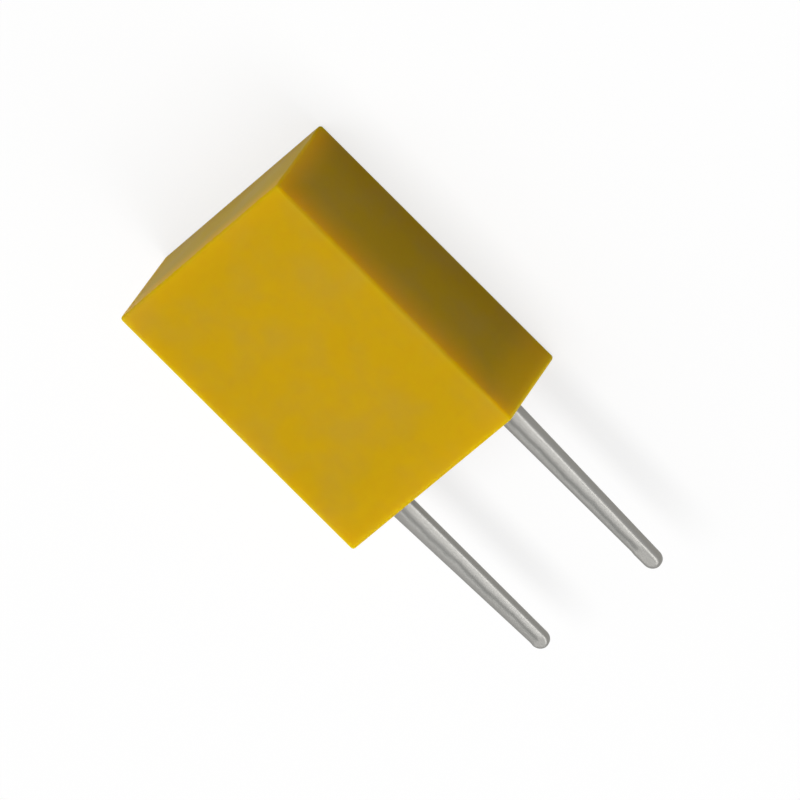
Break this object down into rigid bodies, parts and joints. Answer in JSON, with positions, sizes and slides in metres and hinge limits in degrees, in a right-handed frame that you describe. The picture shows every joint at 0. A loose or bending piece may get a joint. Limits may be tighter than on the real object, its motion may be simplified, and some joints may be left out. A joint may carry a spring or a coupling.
{
  "type": "ceramic resonator",
  "caption": "Ceramic resonator: a moulded yellow box case, open and resin-sealed at one end, with tapered flat leads for a circuit board.",
  "frame": {"origin": "middle of the lead end of the case, in the plane of its rim, where a circuit board meets it; mid-width and mid-thickness", "axes": "X runs across the two leads, +Y points from the leads to the closed end, +Z points out of the front face; the part lies on its back face"},
  "size_m": [0.007, 0.0151, 0.0036],
  "materials": {
    "case_plastic": "satin",
    "resin": "satin",
    "lid_plastic": "matte",
    "tinned_sheet": "satin",
    "fired_ceramic": "matte",
    "silver_film": "satin"
  },
  "bodies": {
    "root": {"case": "case_plastic", "inner_lid": "lid_plastic", "seal_resin": "resin", "terminal_left": "tinned_sheet", "terminal_right": "tinned_sheet", "ceramic_plate": "fired_ceramic", "electrode_front": "silver_film", "electrode_back": "silver_film"}
  },
  "joints": []
}
